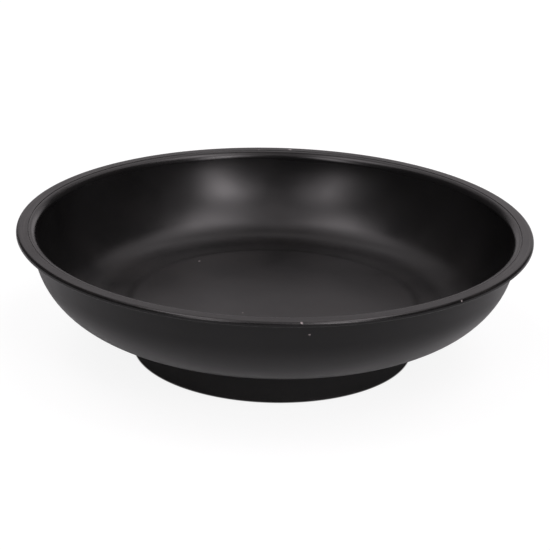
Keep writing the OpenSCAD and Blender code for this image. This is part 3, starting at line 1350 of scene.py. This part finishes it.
@dataclass
class Studio:
    """A pale floor in a dark room, with a softbox at each side in front, a row overhead and some behind.

    Its lengths are in metres. A pair of radii is where a fade starts and where it ends. The painted pool of
    light is pale floor colour round the part, fading to the far colour. The painted shadow is where the
    floor's white lift is taken away under the base.
    """

    softboxes: tuple[Softbox, ...] = (
        Softbox(2.0, 10.0, ((30.0, 49.0, 1.3), (31.0, 41.0, 3.8), (30.0, 33.0, 3.5), (30.0, 25.0, 4.8),
                            (31.0, 17.0, 2.5), (32.0, 9.0, 2.3), (22.0, 36.0, 2.4), (39.0, 36.0, 0.8))),
        Softbox(2.0, 10.0, ((-30.0, 47.0, 1.2), (-30.0, 39.0, 2.9), (-30.0, 31.0, 2.3), (-30.0, 23.0, 2.4),
                            (-33.0, 15.0, 1.9), (-22.0, 36.0, 1.3))),
        Softbox(4.0, 15.0, ((48.0, 58.0, 2.5), (72.0, 68.0, 3.6), (100.0, 70.0, 0.7), (125.0, 64.0, 1.3),
                            (-48.0, 58.0, 1.6), (-72.0, 68.0, 3.3), (-100.0, 70.0, 0.6), (-125.0, 64.0, 1.2),
                            (0.0, 88.0, 0.4))),
        Softbox(5.0, 17.0, ((180.0, 52.0, 1.0), (180.0, 30.0, 0.4), (180.0, 13.0, 0.17), (150.0, 48.0, 0.7),
                            (-150.0, 48.0, 0.5), (163.0, 11.0, 0.8), (-165.0, 12.0, 0.5), (0.0, 62.0, 0.75))),
    )
    room: float = 0.065
    below: float = 0.2
    horizon: float = 0.06
    tint: Colour = (1.0, 0.935, 0.965, 1.0)
    floor_size: float = 4.0
    floor_z: float = -2e-5
    # Painted pool of light: the floor's colour is pale near the part and fades to the far colour farther out.
    painted_pool_colour: Colour = (0.94, 0.96, 0.96, 1.0)
    far_colour: Colour = (0.44, 0.45, 0.45, 1.0)
    painted_pool_r: Point = (0.056, 0.088)
    camera_share: float = 0.19
    camera_lift: float = 0.88
    mirror_lift: float = 0.04
    contact: float = 0.0006
    # Painted shadow: inside these radii the floor's white lift is taken away, under the base.
    painted_shadow_r: Point = (0.0412, 0.0417)

    def world(self) -> None:
        """Builds the room: white to the camera, and dark with soft lights to everything else."""
        world = bpy.data.worlds.new("studio")
        bpy.context.scene.world = world
        g = cleared_graph(world)
        way = g.add("TexCoord").outputs["Generated"]
        total = g.ramp(g.split(way)[2], -self.horizon, self.horizon, (self.below, self.room))
        for softbox in self.softboxes:
            total = softbox.add(g, way, total)
        lit = g.add("Background", inputs={"Color": self.tint, "Strength": total})
        white = g.add("Background", inputs={"Color": WHITE, "Strength": 1.0})
        camera = g.add("LightPath").outputs["Is Camera Ray"]
        both = g.add("MixShader", inputs={0: camera, 1: lit.outputs[0], 2: white.outputs[0]})
        g.feed(g.add("OutputWorld").inputs["Surface"], both.outputs[0])

    def floor(self) -> Piece:
        """Lays the pale floor, which is open to a camera and to light from just below the part. Its colour is
        paler round the part as a painted pool of light, and its white lift is taken away under the base as a
        painted shadow.

        Returns:
            The floor.
        """
        half = self.floor_size / 2
        corners = ((-half, -half), (half, -half), (half, half), (-half, half))
        mesh = bpy.data.meshes.new("floor")
        mesh.from_pydata([(x, y, self.floor_z) for x, y in corners], [], [(0, 1, 2, 3)])
        floor = bpy.data.objects.new("floor", mesh)
        bpy.context.scene.collection.objects.link(floor)
        material = bpy.data.materials.new("pale_floor")
        g = cleared_graph(material)
        path = g.add("LightPath").outputs
        here = g.add("NewGeometry").outputs
        camera = path["Is Camera Ray"]
        mirrored = g.math("MAXIMUM", path["Is Glossy Ray"], path["Is Transmission Ray"])
        x, y, _ = g.split(here["Position"])
        away = g.length(x, y)
        # Painted pool of light: the floor is paler round the part than far away, as reflections and bounce
        # light see it.
        colour = g.mix(g.ramp(away, *self.painted_pool_r), self.painted_pool_colour, self.far_colour)
        thin = tuple(c * self.camera_share for c in self.painted_pool_colour[:3]) + (1.0,)
        paint = g.add("BsdfDiffuse", inputs={"Color": g.mix(camera, colour, thin)})
        lift = g.math("ADD", g.share(camera, self.camera_lift), g.share(mirrored, self.mirror_lift))
        # Painted shadow under the base: there is no white lift inside the base's radius.
        lift = g.math("MULTIPLY", lift, g.ramp(away, *self.painted_shadow_r))
        white = g.add("Emission", inputs={"Color": WHITE, "Strength": lift})
        top = g.add("AddShader", inputs={0: paint.outputs[0], 1: white.outputs[0]})
        close = g.math("LESS_THAN", path["Ray Length"], self.contact)
        opened = g.math("MAXIMUM", here["Backfacing"], close)
        clear = g.add("BsdfTransparent")
        both = g.add("MixShader", inputs={0: opened, 1: top.outputs[0], 2: clear.outputs[0]})
        g.feed(g.add("OutputMaterial").inputs["Surface"], both.outputs[0])
        mesh.materials.append(material)
        return floor


@dataclass(frozen=True)
class Viewpoint:
    """Where the camera stands, in millimetres and degrees, with its clip distances in metres."""

    place: tuple = (0.0, -504.92, 218.13)
    pitch: float = 21.222
    yaw: float = 0.033
    roll: float = 1.444
    lens: float = 120.19
    sensor: float = 36.0
    clip: Point = (0.01, 50.0)

    def build(self) -> Piece:
        """Makes the scene's camera.

        Returns:
            The camera.
        """
        pitch, yaw, roll = (math.radians(a) for a in (self.pitch, self.yaw, self.roll))
        ahead = Vector((math.sin(yaw) * math.cos(pitch), math.cos(yaw) * math.cos(pitch), -math.sin(pitch)))
        right = ahead.cross(Vector((0, 0, 1))).normalized()
        up = right.cross(ahead)
        tilted_right = right * math.cos(roll) + up * math.sin(roll)
        tilted_up = up * math.cos(roll) - right * math.sin(roll)
        turn = Matrix((tilted_right, tilted_up, -ahead)).transposed()
        data = bpy.data.cameras.new("camera")
        data.lens, data.sensor_width, data.sensor_fit = self.lens, self.sensor, "HORIZONTAL"
        data.clip_start, data.clip_end = self.clip
        camera = bpy.data.objects.new("camera", data)
        camera.matrix_world = Matrix.Translation(Vector(self.place) * MM) @ turn.to_4x4()
        bpy.context.scene.collection.objects.link(camera)
        bpy.context.scene.camera = camera
        return camera


def main() -> None:
    """Builds the bowl and its studio, and reports each piece."""
    logging.basicConfig(level=logging.INFO, format="%(name)s: %(message)s")
    bpy.context.scene.view_settings.view_transform = "Standard"
    Viewpoint().build()
    studio = Studio()
    studio.world()
    studio.floor()
    effects = Effects()
    stack = Stack()
    assemblies = (
        Dish(stack, DishPlastic("satin_dish_plastic", Slot.DISH)),
        Base(BasePlastic("matte_base_plastic", Slot.BASE),
             PlatedSteel("zinc_screw_steel", Slot.SCREW, spangle=1.2, seed=46.0)),
        MagnetPack(Ferrite("sintered_ferrite", Slot.FERRITE), PlatedSteel("zinc_plate_steel", Slot.PLATE),
                   CellFoam("closed_cell_foam", Slot.FOAM)),
        Foot(PadRubber("pebbled_rubber", Slot.RUBBER), TapeFilm("tissue_tape", Slot.TAPE)),
    )
    for assembly in assemblies:
        for piece in assembly.build(effects):
            LOG.info("%s: %s, %d faces", type(assembly).__name__, piece.name, len(piece.data.polygons))


if __name__ == "__main__":
    main()
